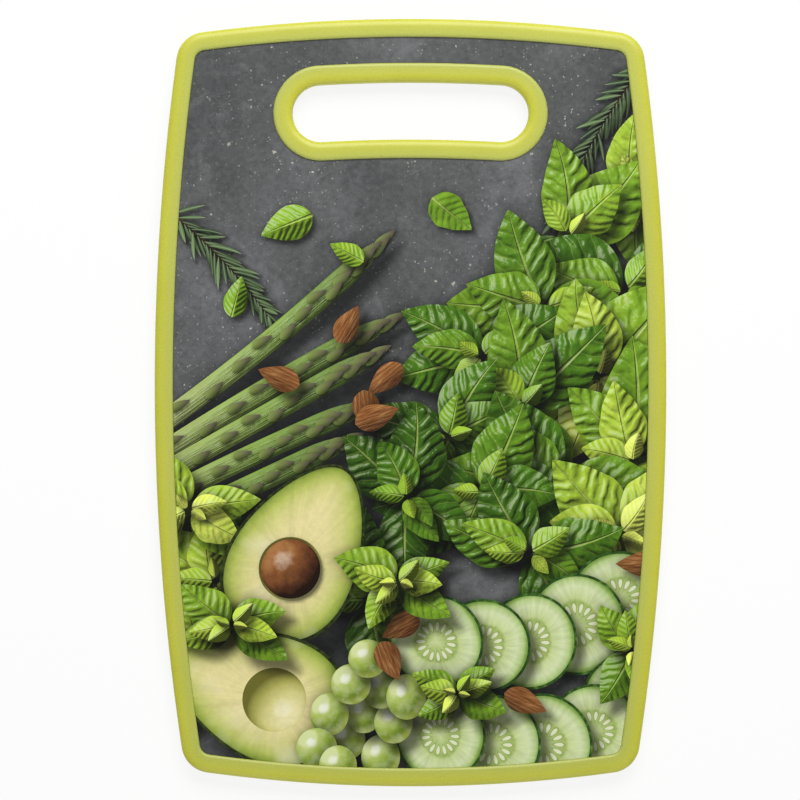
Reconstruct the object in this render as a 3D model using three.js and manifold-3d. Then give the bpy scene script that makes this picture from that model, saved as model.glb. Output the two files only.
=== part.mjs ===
// Plastic cutting board with a printed face, a handle slot and soft overmoulded rims.
// Millimetres, +Z up. The board lies flat, printed face up, with its handle end towards +Y.
// The origin is the middle of the outline, on the surface that the board rests on.
import * as THREE from "three";
import { LoftGeometry } from "three/addons/geometries/LoftGeometry.js";
import { mergeVertices } from "three/addons/utils/BufferGeometryUtils.js";
import Module from "manifold-3d";

// Outline of the board, over the rim. All four edges bow outwards.
const boardWidth = 240;
const boardLength = 360;
const sideBowRadius = 1150;
const handleEndBowRadius = 765;
const footEndBowRadius = 706;
const widestOffset = 8.5; // from mid-length towards the handle end

// Handle slot, bent parallel to the handle end
const slotLength = 111;
const slotWidth = 27;
const slotFromEnd = 43.1; // centre line of the slot to the handle end

// Stiff panel and the printed film on its face
const panelThickness = 6;
const panelCornerRadius = 5.2;
const filmThickness = 0.2;

// Tongue along the panel's edges, which the soft rims are moulded over
const tongueThickness = 3;
const mouldGap = 0.1;

// Soft rims, one round the board and one round the slot
const rimWidth = 8.6;
const handleRimWidth = 8.8;
const rimWall = 3; // between the rim's free edge and the tongue
const rimAboveFilm = 1.3;
const rimBelowPanel = 1.5;
const freeEdgeRound = 2.2;
const crownInset = 3.8; // from the free edge to the crown, on the printed face
const crownShoulder = 1.7; // slope from the crown down to the film
const footShoulder = 3.4; // slope from the rim's flat foot up to the panel
const shoulderDrop = 1;

// Posts that lock each rim through holes in the tongue
const postDiameter = 3;
const postPitch = 30;
const postRoot = 0.5; // reach of a post into the rim above and below the tongue

// Facets
const halfSideSteps = 10;
const endSteps = 14;
const cornerSteps = 8;
const slotEdgeSteps = 10;
const slotCapSteps = 14;
const roundSteps = 4;
const postSides = 8;
const mergeTolerance = 1e-4;

// Heights, from the surface that the board rests on
const panelBottom = rimBelowPanel;
const panelTop = panelBottom + panelThickness;
const boardThickness = panelTop + filmThickness + rimAboveFilm;
const tongueBottom = panelBottom + (panelThickness - tongueThickness) / 2;
const tongueTop = tongueBottom + tongueThickness;

const panelInset = rimWidth + mouldGap;
const handlePanelInset = handleRimWidth + mouldGap;
const tongueInset = rimWall + mouldGap;
const cornerRadius = panelCornerRadius + panelInset;

const wasm = await Module();
wasm.setup();

// Solids

function solid(geometry) {
  const bare = new THREE.BufferGeometry().copy(geometry);
  bare.deleteAttribute("normal");
  bare.deleteAttribute("uv");
  const merged = mergeVertices(bare, mergeTolerance);
  return new wasm.Manifold(new wasm.Mesh({
    numProp: 3,
    vertProperties: new Float32Array(merged.attributes.position.array),
    triVerts: new Uint32Array(merged.index.array),
  }));
}

function geometryOf(body) {
  const mesh = body.getMesh();
  const geometry = new THREE.BufferGeometry();
  geometry.setAttribute("position", new THREE.BufferAttribute(mesh.vertProperties, 3));
  geometry.setIndex(new THREE.BufferAttribute(mesh.triVerts, 1));
  geometry.computeVertexNormals();
  return geometry;
}

// Edges. An edge is a closed run of arcs, walked with the panel's material on the left.
// An arc's side tells whether that material lies away from the arc's centre or towards it.

const away = 1;
const towards = -1;

function arc(centre, radius, from, to, steps, side) {
  return { centre, radius, from, to, steps, side };
}

function mirrored({ centre, radius, from, to, steps, side }) {
  return arc(new THREE.Vector2(-centre.x, centre.y), radius, Math.PI - to, Math.PI - from, steps, side);
}

function onCircle(centre, radius, angle) {
  return new THREE.Vector2(Math.cos(angle), Math.sin(angle)).multiplyScalar(radius).add(centre);
}

function bearing(from, to) {
  return Math.atan2(to.y - from.y, to.x - from.x);
}

// Places along an edge, each with the direction that leads into the material
function stationsOf(arcs) {
  const origin = new THREE.Vector2();
  const stations = [];
  for (const { centre, radius, from, to, steps, side } of arcs) {
    for (let step = 0; step < steps; step += 1) {
      const angle = from + (to - from) * (step / steps);
      stations.push({ at: onCircle(centre, radius, angle), into: onCircle(origin, side, angle) });
    }
  }
  return stations;
}

function insetLoop(edge, inset) {
  return edge.map(({ at, into }) => at.clone().addScaledVector(into, inset));
}

// Board edge

const sideCentre = new THREE.Vector2(boardWidth / 2 - sideBowRadius, widestOffset);
const handleEndCentre = new THREE.Vector2(0, boardLength / 2 - handleEndBowRadius);
const footEndCentre = new THREE.Vector2(0, footEndBowRadius - boardLength / 2);

// Centre of the round between the right side and an end; turn is 1 at the handle end, -1 at the foot
function cornerCentre(endCentre, endRadius, turn) {
  const fromSide = sideBowRadius - cornerRadius;
  const fromEnd = endRadius - cornerRadius;
  const span = sideCentre.distanceTo(endCentre);
  const along = (span ** 2 + fromSide ** 2 - fromEnd ** 2) / (2 * span);
  const angle = bearing(sideCentre, endCentre) + turn * Math.acos(along / fromSide);
  return onCircle(sideCentre, fromSide, angle);
}

function boardArcs() {
  const handleCorner = cornerCentre(handleEndCentre, handleEndBowRadius, 1);
  const footCorner = cornerCentre(footEndCentre, footEndBowRadius, -1);
  const handleTurn = bearing(handleEndCentre, handleCorner);
  const footTurn = bearing(footEndCentre, footCorner);
  const sideStart = bearing(sideCentre, footCorner);
  const sideEnd = bearing(sideCentre, handleCorner);
  const widest = 0; // bearing of the widest place from the side's centre
  const lowerSide = arc(sideCentre, sideBowRadius, sideStart, widest, halfSideSteps, towards);
  const upperSide = arc(sideCentre, sideBowRadius, widest, sideEnd, halfSideSteps, towards);
  const handleRound = arc(handleCorner, cornerRadius, sideEnd, handleTurn, cornerSteps, towards);
  const footRound = arc(footCorner, cornerRadius, footTurn, sideStart, cornerSteps, towards);
  return [
    lowerSide,
    upperSide,
    handleRound,
    arc(handleEndCentre, handleEndBowRadius, handleTurn, Math.PI - handleTurn, endSteps, towards),
    mirrored(handleRound),
    mirrored(upperSide),
    mirrored(lowerSide),
    mirrored(footRound),
    arc(footEndCentre, footEndBowRadius, -Math.PI - footTurn, footTurn, endSteps, towards),
    footRound,
  ];
}

// Slot edge

function slotArcs() {
  const bend = handleEndBowRadius - slotFromEnd;
  const half = slotWidth / 2;
  const spread = Math.asin((slotLength / 2 - half) / bend);
  const right = Math.PI / 2 - spread;
  const left = Math.PI / 2 + spread;
  const rightCentre = onCircle(handleEndCentre, bend, right);
  const leftCentre = onCircle(handleEndCentre, bend, left);
  return [
    arc(handleEndCentre, bend + half, left, right, slotEdgeSteps, away),
    arc(rightCentre, half, right, right - Math.PI, slotCapSteps, away),
    arc(handleEndCentre, bend - half, right, left, slotEdgeSteps, towards),
    arc(leftCentre, half, left + Math.PI, left, slotCapSteps, away),
  ];
}

const boardEdge = stationsOf(boardArcs());
const slotEdge = stationsOf(slotArcs());

// Stiff panel and film

function plate(inset, handleInset, thickness) {
  const outline = new THREE.Shape(insetLoop(boardEdge, inset));
  outline.holes.push(new THREE.Path(insetLoop(slotEdge, handleInset)));
  return new THREE.ExtrudeGeometry(outline, { depth: thickness, bevelEnabled: false });
}

function postSpots(edge, width) {
  const line = new THREE.Path(insetLoop(edge, (rimWall + width) / 2)).closePath();
  const count = Math.round(line.getLength() / postPitch);
  return line.getSpacedPoints(count).slice(0, count);
}

function post(spot, diameter, bottom, top) {
  const geometry = new THREE.CylinderGeometry(diameter / 2, diameter / 2, top - bottom, postSides);
  geometry.rotateX(Math.PI / 2);
  return geometry.translate(spot.x, spot.y, (bottom + top) / 2);
}

const boardPosts = postSpots(boardEdge, rimWidth);
const handlePosts = postSpots(slotEdge, handleRimWidth);

function corePanel() {
  const tongue = plate(tongueInset, tongueInset, tongueThickness).translate(0, 0, tongueBottom);
  const body = plate(panelInset, handlePanelInset, panelThickness).translate(0, 0, panelBottom);
  const holeDiameter = postDiameter + 2 * mouldGap;
  let core = solid(body).add(solid(tongue));
  for (const spot of [...boardPosts, ...handlePosts]) {
    core = core.subtract(solid(post(spot, holeDiameter, tongueBottom - mouldGap, tongueTop + mouldGap)));
  }
  return geometryOf(core);
}

// Soft rims

// Points of a quarter of an ellipse, from one angle to a right angle further on
function quarter(inset, height, radiusAcross, radiusUp, from) {
  return Array.from({ length: roundSteps + 1 }, (_, step) => {
    const angle = from + (Math.PI / 2) * (step / roundSteps);
    return new THREE.Vector2(inset + radiusAcross * Math.cos(angle), height + radiusUp * Math.sin(angle));
  });
}

// Section of a rim, as distance from its free edge and height, with a groove for the tongue
function rimSection(width) {
  const footEnd = width - footShoulder;
  const crownEnd = width - crownShoulder;
  const upperRound = boardThickness - freeEdgeRound;
  const upperShoulder = boardThickness - shoulderDrop;
  return [
    ...quarter(freeEdgeRound, freeEdgeRound, freeEdgeRound, freeEdgeRound, Math.PI),
    ...quarter(footEnd, shoulderDrop, footShoulder, shoulderDrop, -Math.PI / 2),
    new THREE.Vector2(width, tongueBottom - mouldGap),
    new THREE.Vector2(rimWall, tongueBottom - mouldGap),
    new THREE.Vector2(rimWall, tongueTop + mouldGap),
    new THREE.Vector2(width, tongueTop + mouldGap),
    ...quarter(crownEnd, upperShoulder, crownShoulder, shoulderDrop, 0),
    ...quarter(crownInset, upperRound, crownInset, freeEdgeRound, Math.PI / 2),
  ];
}

function softRim(edge, width, spots) {
  const section = rimSection(width);
  const sections = [...edge, edge[0]].map(({ at, into }) => section.map((point) => {
    const place = at.clone().addScaledVector(into, point.x);
    return new THREE.Vector3(place.x, place.y, point.y);
  }));
  let rim = solid(new LoftGeometry(sections));
  for (const spot of spots) {
    const bottom = tongueBottom - mouldGap - postRoot;
    const top = tongueTop + mouldGap + postRoot;
    rim = rim.add(solid(post(spot, postDiameter, bottom, top)));
  }
  return geometryOf(rim);
}

// Assembly

const limeRubber = { color: "#c6c851", roughness: 0.55, metalness: 0 };
const whitePlastic = { color: "#e6e5df", roughness: 0.6, metalness: 0 };
const slatePrint = { color: "#5e605f", roughness: 0.45, metalness: 0 };

function piece(name, geometry, finish) {
  const mesh = new THREE.Mesh(geometry, new THREE.MeshStandardMaterial(finish));
  mesh.name = name;
  return mesh;
}

const film = piece("printed_film", plate(panelInset, handlePanelInset, filmThickness), slatePrint);
film.position.z = panelTop;

const panel = new THREE.Group();
panel.add(piece("core_panel", corePanel(), whitePlastic), film);

const rims = new THREE.Group();
rims.add(
  piece("edge_rim", softRim(boardEdge, rimWidth, boardPosts), limeRubber),
  piece("handle_rim", softRim(slotEdge, handleRimWidth, handlePosts), limeRubber),
);

const board = new THREE.Group();
board.name = "cutting_board";
board.add(panel, rims);

export default board;
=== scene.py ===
# Plastic cutting board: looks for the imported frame.
# Two soft lime rims and a printed film are modelled here; the white core keeps its own solid.
import math
import random

import bmesh
import bpy
import numpy as np
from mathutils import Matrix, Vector
from mathutils.geometry import delaunay_2d_cdt


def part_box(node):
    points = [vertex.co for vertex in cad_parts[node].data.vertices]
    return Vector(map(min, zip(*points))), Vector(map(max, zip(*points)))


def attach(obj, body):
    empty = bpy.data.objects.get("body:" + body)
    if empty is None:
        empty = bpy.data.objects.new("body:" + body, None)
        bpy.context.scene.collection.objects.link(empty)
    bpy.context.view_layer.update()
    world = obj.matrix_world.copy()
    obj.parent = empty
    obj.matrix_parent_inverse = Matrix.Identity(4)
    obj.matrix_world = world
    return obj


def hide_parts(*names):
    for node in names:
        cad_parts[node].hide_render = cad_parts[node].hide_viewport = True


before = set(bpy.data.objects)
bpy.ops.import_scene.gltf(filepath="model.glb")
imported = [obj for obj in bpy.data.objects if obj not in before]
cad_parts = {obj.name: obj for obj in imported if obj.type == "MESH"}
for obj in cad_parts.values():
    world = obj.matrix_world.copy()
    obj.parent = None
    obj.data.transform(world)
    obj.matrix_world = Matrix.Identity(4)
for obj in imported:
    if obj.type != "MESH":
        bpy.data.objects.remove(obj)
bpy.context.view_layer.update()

MM = 0.001

# Sizes that the frame gives
RIM_LOW, RIM_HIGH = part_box("edge_rim")
FILM_LOW, FILM_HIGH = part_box("printed_film")
CORE_LOW, CORE_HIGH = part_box("core_panel")
BOARD_WIDTH = RIM_HIGH[0] - RIM_LOW[0]
BOARD_LENGTH = RIM_HIGH[1] - RIM_LOW[1]
BOARD_THICKNESS = RIM_HIGH[2] - RIM_LOW[2]

# Outline, repeated from the part: every edge is an arc
SIDE_BOW = 1150 * MM
HANDLE_END_BOW = 765 * MM
FOOT_END_BOW = 706 * MM
WIDEST_OFFSET = 8.5 * MM
PANEL_CORNER = 5.2 * MM

# Handle slot
SLOT_LENGTH = 111 * MM
SLOT_WIDTH = 27 * MM
SLOT_FROM_END = 43.1 * MM

# Rim sections
RIM_WIDTH = 8.6 * MM
HANDLE_RIM_WIDTH = 8.8 * MM
MOULD_GAP = 0.1 * MM
RIM_WALL = 3 * MM
TONGUE_THICKNESS = 3 * MM
FREE_EDGE_ROUND = 2.2 * MM
CROWN_INSET = 3.8 * MM
FOOT_SHOULDER_WIDTH = 3.4 * MM
SHOULDER_WIDTH = 1.7 * MM
SHOULDER_DROP = 1 * MM
TINT_START_INSET = 1.5 * MM
PARTING_LINE_WIDTH = 0.5 * MM
PARTING_LINE_PROUD = 0.12 * MM
ARC_STEP = 3.5 * MM
CORNER_STEP = 0.8 * MM
LARGEST_CORNER = 20 * MM
LEAST_STEPS = 4
ROUND_STEPS = 10
WELD_DISTANCE = 0.001 * MM
SHARP_ANGLE = math.radians(35)

# Photograph: a square picture with the board seen straight from above
PHOTO_SIDE = 800
BOARD_PIXELS_WIDE = 510.9
BOARD_CENTRE_PIXEL = (410.5, 402.6)
CAMERA_HEIGHT = 1.5
SENSOR_WIDTH = 36

# Stage
ROOM_LIGHT = 0.25
FLOOR_SIZE = 6
FLOOR_DROP = 0.2 * MM
SHADOW_REACH = 0.3
PLAIN_REACH = 1.6
NEAR_WHITE = 0.85


# Outline arcs

class Arc:
    """A stretch of an edge. The board's material lies on the left of the way it is walked."""

    def __init__(self, centre, radius, start, end, side):
        self.centre = Vector(centre)
        self.radius = radius
        self.start = start
        self.end = end
        self.side = side  # 1 where the material lies away from the centre, -1 towards it

    def point(self, angle, inset):
        reach = self.radius + self.side * inset
        return self.centre + Vector((math.cos(angle), math.sin(angle))) * reach

    def steps(self, size):
        return max(LEAST_STEPS, round(abs(self.end - self.start) * self.radius / size))

    def mirrored(self):
        centre = (-self.centre.x, self.centre.y)
        return Arc(centre, self.radius, math.pi - self.end, math.pi - self.start, self.side)


def bearing(start, end):
    return math.atan2(end.y - start.y, end.x - start.x)


HANDLE_END_CENTRE = Vector((0, BOARD_LENGTH / 2 - HANDLE_END_BOW))


def board_arcs():
    corner = PANEL_CORNER + RIM_WIDTH + MOULD_GAP
    side_centre = Vector((BOARD_WIDTH / 2 - SIDE_BOW, WIDEST_OFFSET))
    foot_centre = Vector((0, FOOT_END_BOW - BOARD_LENGTH / 2))

    def corner_centre(end_centre, end_bow, turn):
        from_side = SIDE_BOW - corner
        from_end = end_bow - corner
        span = (end_centre - side_centre).length
        along = (span**2 + from_side**2 - from_end**2) / (2 * span)
        angle = bearing(side_centre, end_centre) + turn * math.acos(along / from_side)
        return side_centre + Vector((math.cos(angle), math.sin(angle))) * from_side

    handle_corner = corner_centre(HANDLE_END_CENTRE, HANDLE_END_BOW, 1)
    foot_corner = corner_centre(foot_centre, FOOT_END_BOW, -1)
    handle_turn = bearing(HANDLE_END_CENTRE, handle_corner)
    foot_turn = bearing(foot_centre, foot_corner)
    side_start = bearing(side_centre, foot_corner)
    side_end = bearing(side_centre, handle_corner)
    side = Arc(side_centre, SIDE_BOW, side_start, side_end, -1)
    handle_round = Arc(handle_corner, corner, side_end, handle_turn, -1)
    foot_round = Arc(foot_corner, corner, foot_turn, side_start, -1)
    return [
        side,
        handle_round,
        Arc(HANDLE_END_CENTRE, HANDLE_END_BOW, handle_turn, math.pi - handle_turn, -1),
        handle_round.mirrored(),
        side.mirrored(),
        foot_round.mirrored(),
        Arc(foot_centre, FOOT_END_BOW, -math.pi - foot_turn, foot_turn, -1),
        foot_round,
    ]


def slot_arcs():
    bend = HANDLE_END_BOW - SLOT_FROM_END
    half = SLOT_WIDTH / 2
    spread = math.asin((SLOT_LENGTH / 2 - half) / bend)
    right = math.pi / 2 - spread
    left = math.pi / 2 + spread
    right_centre = HANDLE_END_CENTRE + Vector((math.cos(right), math.sin(right))) * bend
    left_centre = HANDLE_END_CENTRE + Vector((math.cos(left), math.sin(left))) * bend
    return [
        Arc(HANDLE_END_CENTRE, bend + half, left, right, 1),
        Arc(right_centre, half, right, right - math.pi, 1),
        Arc(HANDLE_END_CENTRE, bend - half, right, left, -1),
        Arc(left_centre, half, left + math.pi, left, 1),
    ]


def step_size(arc):
    return CORNER_STEP if arc.radius < LARGEST_CORNER else ARC_STEP


def edge_loop(arcs, inset):
    """Points of an edge, moved into the material by inset."""
    points = []
    for arc in arcs:
        count = arc.steps(step_size(arc))
        for step in range(count):
            points.append(arc.point(arc.start + (arc.end - arc.start) * step / count, inset))
    return points


# Soft rims

def quarter(inset, height, across, up, start):
    turns = [start + math.pi / 2 * step / ROUND_STEPS for step in range(ROUND_STEPS + 1)]
    return [(inset + across * math.cos(turn), height + up * math.sin(turn)) for turn in turns]


def rim_section(width):
    """Inset and height round a rim: flat foot, groove, domed top, free edge and parting line."""
    top = BOARD_THICKNESS
    foot_end = width - FOOT_SHOULDER_WIDTH
    crown_end = width - SHOULDER_WIDTH
    middle = (CORE_LOW[2] + CORE_HIGH[2]) / 2
    tongue_low = middle - TONGUE_THICKNESS / 2 - MOULD_GAP
    tongue_high = middle + TONGUE_THICKNESS / 2 + MOULD_GAP
    half_line = PARTING_LINE_WIDTH / 2
    half_crest = half_line / 3
    return [
        *quarter(FREE_EDGE_ROUND, FREE_EDGE_ROUND, FREE_EDGE_ROUND, FREE_EDGE_ROUND, math.pi),
        *quarter(foot_end, SHOULDER_DROP, FOOT_SHOULDER_WIDTH, SHOULDER_DROP, -math.pi / 2),
        (width, tongue_low),
        (RIM_WALL, tongue_low),
        (RIM_WALL, tongue_high),
        (width, tongue_high),
        *quarter(crown_end, top - SHOULDER_DROP, SHOULDER_WIDTH, SHOULDER_DROP, 0),
        *quarter(CROWN_INSET, top - FREE_EDGE_ROUND, CROWN_INSET, FREE_EDGE_ROUND, math.pi / 2),
        (0, middle + half_line),
        (-PARTING_LINE_PROUD, middle + half_crest),
        (-PARTING_LINE_PROUD, middle - half_crest),
        (0, middle - half_line),
    ]


def soft_rim(name, node, arcs, width):
    """A rim's section spun along each arc of its edge in turn."""
    bm = bmesh.new()
    towards_print = bm.verts.layers.float.new("towards_print")
    first = arcs[0]
    verts = []
    for inset, height in rim_section(width):
        x, y = first.point(first.start, inset)
        vert = bm.verts.new((x, y, height))
        # share of the way from 1.5 mm in to the edge at the print; the rubber's tint turns duller and
        # greener along it
        vert[towards_print] = max(0, (inset - TINT_START_INSET) / (width - TINT_START_INSET))
        verts.append(vert)
    edges = [bm.edges.new((verts[i - 1], verts[i])) for i in range(len(verts))]
    last = verts + edges
    for arc in arcs:
        spun = bmesh.ops.spin(
            bm, geom=last, cent=(*arc.centre, 0), axis=(0, 0, 1),
            angle=arc.end - arc.start, steps=arc.steps(step_size(arc)), use_duplicate=False,
        )
        last = spun["geom_last"]
    bmesh.ops.remove_doubles(bm, verts=bm.verts, dist=WELD_DISTANCE)
    bmesh.ops.recalc_face_normals(bm, faces=bm.faces)
    return finished(name, node, bm)


def finished(name, node, bm):
    """Makes the mesh a smooth piece that stands for a node of the frame."""
    mesh = bpy.data.meshes.new(name)
    bm.to_mesh(mesh)
    bm.free()
    mesh.shade_smooth()
    mesh.set_sharp_from_angle(angle=SHARP_ANGLE)
    piece = bpy.data.objects.new(name, mesh)
    bpy.context.collection.objects.link(piece)
    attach(piece, "root")
    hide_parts(node)
    return piece


# Materials

def linear(code):
    """Linear colour of an sRGB hex value."""
    parts = [int(code[i:i + 2], 16) / 255 for i in (1, 3, 5)]
    return (*[c / 12.92 if c <= 0.04045 else ((c + 0.055) / 1.055) ** 2.4 for c in parts], 1)


# A colour mix's sockets, and settings that recur
SHARE, FIRST, SECOND = 0, 6, 7
COLOURS = {"out": 2, "data_type": "RGBA"}
TIMES = {**COLOURS, "blend_type": "MULTIPLY"}
EASED = {"interpolation_type": "SMOOTHSTEP"}


def add(tree, kind, values=(), out=0, stops=(), **settings):
    """Adds a shader node and gives one of its outputs.

    Values and links are given in the order of the node's sockets, or as a dictionary by socket.
    """
    node = tree.nodes.new("ShaderNode" + kind)
    for name, value in settings.items():
        setattr(node, name, value)
    for place, (position, code) in enumerate(stops):
        ramp = node.color_ramp.elements
        element = ramp[place] if place < 2 else ramp.new(position)
        element.position = position
        element.color = linear(code)
    by_socket = values if isinstance(values, dict) else dict(enumerate(values))
    for socket, value in by_socket.items():
        if isinstance(value, bpy.types.NodeSocket):
            tree.links.new(value, node.inputs[socket])
        else:
            node.inputs[socket].default_value = value
    return node.outputs[out] if node.outputs else None


def varied(tree, colour, noise, least, most, low=0.3, high=0.7):
    """A colour made darker and lighter by a noise, between two shares of it."""
    share = add(tree, "MapRange", (noise, low, high, least, most))
    return add(tree, "Mix", {SHARE: 1.0, FIRST: colour, SECOND: share}, **TIMES)


def new_tree(name):
    material = bpy.data.materials.new(name)
    material.use_nodes = True
    material.node_tree.nodes.clear()
    return material, material.node_tree


def soft_rubber():
    """Thermoplastic rubber, moulded against eroded steel: satin, with a broad soft shine."""
    material, tree = new_tree("lime_thermoplastic_rubber_moulded")
    place = add(tree, "TexCoord", out="Object")
    cloud = add(tree, "TexNoise", {"Vector": place, "Scale": 1 / (22 * MM), "Detail": 2})
    # the eroded grain is about 0.1 mm across, drawn at 0.9 mm so that it shows
    grain = add(tree, "TexNoise", {"Vector": place, "Scale": 1 / (0.9 * MM), "Detail": 3})
    tint = add(tree, "Mix", {SHARE: cloud, FIRST: linear("#c2c334"), SECOND: linear("#cdcd45")}, **COLOURS)
    # from 1.5 mm in to its edge at the print, the rubber is drawn duller and greener, darker in red and
    # green
    near_print = add(tree, "Attribute", out="Fac", attribute_name="towards_print")
    pale = add(tree, "MapRange", (near_print, 0.0, 0.9, 0.0, 0.75))
    tint = add(tree, "Mix", {SHARE: pale, FIRST: tint, SECOND: linear("#b3bb61")}, **COLOURS)
    tint = varied(tree, tint, grain, 0.95, 1.05)
    rough = add(tree, "MapRange", (grain, 0.3, 0.7, 0.32, 0.44))
    bump = add(tree, "Bump", {"Height": grain, "Distance": 0.02 * MM, "Strength": 0.5})
    surface = add(tree, "BsdfPrincipled", {
        "Base Color": tint, "Roughness": rough, "Normal": bump, "IOR": 1.49, "Specular IOR Level": 0.5,
    })
    add(tree, "OutputMaterial", {"Surface": surface})
    return material


def panel_plastic():
    """White polypropylene, moulded: matt from a spark-eroded mould, faintly cloudy."""
    material, tree = new_tree("white_polypropylene_moulded")
    place = add(tree, "TexCoord", out="Object")
    cloud = add(tree, "TexNoise", {"Vector": place, "Scale": 1 / (60 * MM), "Detail": 3})
    grain = add(tree, "TexVoronoi", {"Vector": place, "Scale": 1 / (0.8 * MM)}, feature="SMOOTH_F1")
    tint = add(tree, "Mix", {SHARE: cloud, FIRST: linear("#e3e2da"), SECOND: linear("#edece6")}, **COLOURS)
    bump = add(tree, "Bump", {"Height": grain, "Distance": 0.05 * MM, "Strength": 0.6})
    surface = add(tree, "BsdfPrincipled", {
        "Base Color": tint, "Roughness": 0.55, "Normal": bump, "IOR": 1.49,
    })
    add(tree, "OutputMaterial", {"Surface": surface})
    return material


# Print: a still life on slate, drawn as flat regions of the film.
# Its places and sizes are in board millimetres, and its light comes from the upper left.

PICTURE_LIGHT = Vector((-0.50, 0.55, 0.67)).normalized()
PICTURE_GLINT = (PICTURE_LIGHT + Vector((0, 0, 1))).normalized()
SHADOW_WAY = np.array((0.60, -0.66))  # how far a shadow falls for each millimetre of height
CAST_DEPTH = 0.80  # share of the light that a cast shadow takes
SEAM_DEPTH = 0.42  # share that the dark seam round a thing takes
LEAST_LIFT = 0.5  # of a thing that casts a shadow
DEEPEST_SHADOW = 0.03
GRID_STEP = 1.6
MERGE_DISTANCE = 1e-4
FULL_TURN = 6.3  # near enough for turning things at random
HALF_TURN = 3.1
ROSETTE_RINGS = ((1.0, 0.5), (0.92, 0.0), (0.68, 0.9), (0.44, 0.2), (0.24, 0.8))  # size and twist
SCALE_PLACES = (  # of scales along a spear, closer towards its tip
    0.16, 0.27, 0.38, 0.47, 0.55, 0.62, 0.68, 0.73, 0.77, 0.80, 0.83, 0.86, 0.885, 0.91, 0.935,
)
STONE_OFFSET = 0.20  # of an avocado's stone from the middle, as a share of half its length


class Motif:
    """One pictured thing: the ink it is printed in, its outline, and its own along and across."""

    def __init__(self, ink, at, turn, length, width, shape, bend=0, lift=4, tone=0.5):
        self.ink = ink
        self.at = np.array(at, dtype=float)
        self.turn = turn
        self.length = length
        self.width = width
        self.bend = bend  # of its middle line, per millimetre
        self.lift = lift  # of the thing above what it lies on
        self.tone = tone  # 0 dark, 1 light
        self.outline = self.place(shape)

    def place(self, own):
        along = own[:, 0] * self.length
        across = own[:, 1] * self.width
        x, y = along, across
        if self.bend:
            radius = 1 / self.bend
            x = (radius - across) * np.sin(along * self.bend)
            y = radius - (radius - across) * np.cos(along * self.bend)
        cos, sin = math.cos(self.turn), math.sin(self.turn)
        return np.column_stack((x * cos - y * sin, x * sin + y * cos)) + self.at

    def own(self, points):
        cos, sin = math.cos(self.turn), math.sin(self.turn)
        shift = points - self.at
        x = shift[:, 0] * cos + shift[:, 1] * sin
        y = shift[:, 1] * cos - shift[:, 0] * sin
        if self.bend:
            radius = 1 / self.bend
            side = math.copysign(1, radius)
            along = np.arctan2(x * side, (radius - y) * side) / self.bend
            y = radius - side * np.hypot(x, radius - y)
            x = along
        return np.column_stack((x / self.length, y / self.width))


def both_sides(along, half):
    """An outline from half widths along a middle line, from its root round its tip and back."""
    right = np.column_stack((along, -half))
    left = np.column_stack((along, half))[::-1]
    return np.vstack((right, left[1:-1]))


def leaf_shape(fullness=0.72, points=22, wave=0.0):
    along = np.linspace(0, 1, points)
    half = np.sin(np.pi * along**fullness) ** 0.9
    half = np.abs(half) * (1 + wave * np.sin(19 * along))
    half[[0, -1]] = 0
    return both_sides(along, half)


def disc_shape(points=48, taper=0.0):
    angle = np.linspace(0, 2 * np.pi, points, endpoint=False)
    return np.column_stack((np.cos(angle), np.sin(angle) * (1 - taper * np.cos(angle))))


def spear_shape(points=26):
    along = np.linspace(0, 1, points)
    half = np.where(along < 0.80, 0.92 + 0.10 * along, 1.0 - ((along - 0.80) / 0.20).clip(0) ** 2.2)
    half[-1] = 0
    right = np.column_stack((along, -half))
    left = np.column_stack((along, half))[::-1]
    return np.vstack((right, left[1:]))


NEEDLE = leaf_shape(fullness=1.0, points=6)
DISC = disc_shape()
EGG = disc_shape(points=64, taper=0.27)
BRACT = leaf_shape(fullness=0.62, points=12)
ALMOND = leaf_shape(fullness=0.70, points=18)
SPEAR = spear_shape()


def towards(at, turn, reach):
    return (at[0] + reach * math.cos(turn), at[1] + reach * math.sin(turn))


def leaf(rng, root, turn, length, tone, lift=4.0):
    width = length * rng.uniform(0.27, 0.36)
    bend = rng.uniform(-0.5, 0.5) / length
    shape = leaf_shape(fullness=rng.uniform(0.66, 0.80), wave=rng.uniform(0.0, 0.035))
    return Motif("herb", root, turn, length, width, shape, bend, lift, tone)


def rosette(rng, at, size, turn, tone):
    """A herb's growing tip from above: crossed pairs of leaves, smaller and paler towards the middle."""
    leaves = []
    for ring, (share, spread) in enumerate(ROSETTE_RINGS):
        for half_turn in (0, math.pi):
            way = turn + ring * math.pi / 2 + spread + half_turn + rng.uniform(-0.25, 0.25)
            root = towards(at, way, size * rng.uniform(0.02, 0.06))
            paler = tone + 0.11 * ring + rng.uniform(-0.12, 0.12)
            length = size * share * rng.uniform(0.88, 1.08)
            leaves.append(leaf(rng, root, way, length, paler, lift=8 - 1.2 * ring))
    return leaves


def rosemary(rng, root, turn, length, bend):
    """A woody stem with needles down both sides."""
    stem = Motif("stem", root, turn, length, 1.1, SPEAR, bend, lift=2.5)
    needles = []
    count = round(length / 1.5)
    for place in range(count):
        along = 0.06 + 0.92 * place / count
        foot = stem.place(np.array([(along, 0.0)]))[0]
        way = turn + bend * along * length
        side = 1 if place % 2 else -1
        lean = side * rng.uniform(0.45, 1.05) * (1.05 - 0.5 * along)
        reach = rng.uniform(11, 17) * (1 - 0.45 * along**3)
        needles.append(Motif(
            "needle", foot, way + lean, reach, rng.uniform(0.75, 1.05), NEEDLE,
            -side * rng.uniform(0, 0.03), lift=2.2, tone=rng.random(),
        ))
    return [stem] + needles


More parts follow.
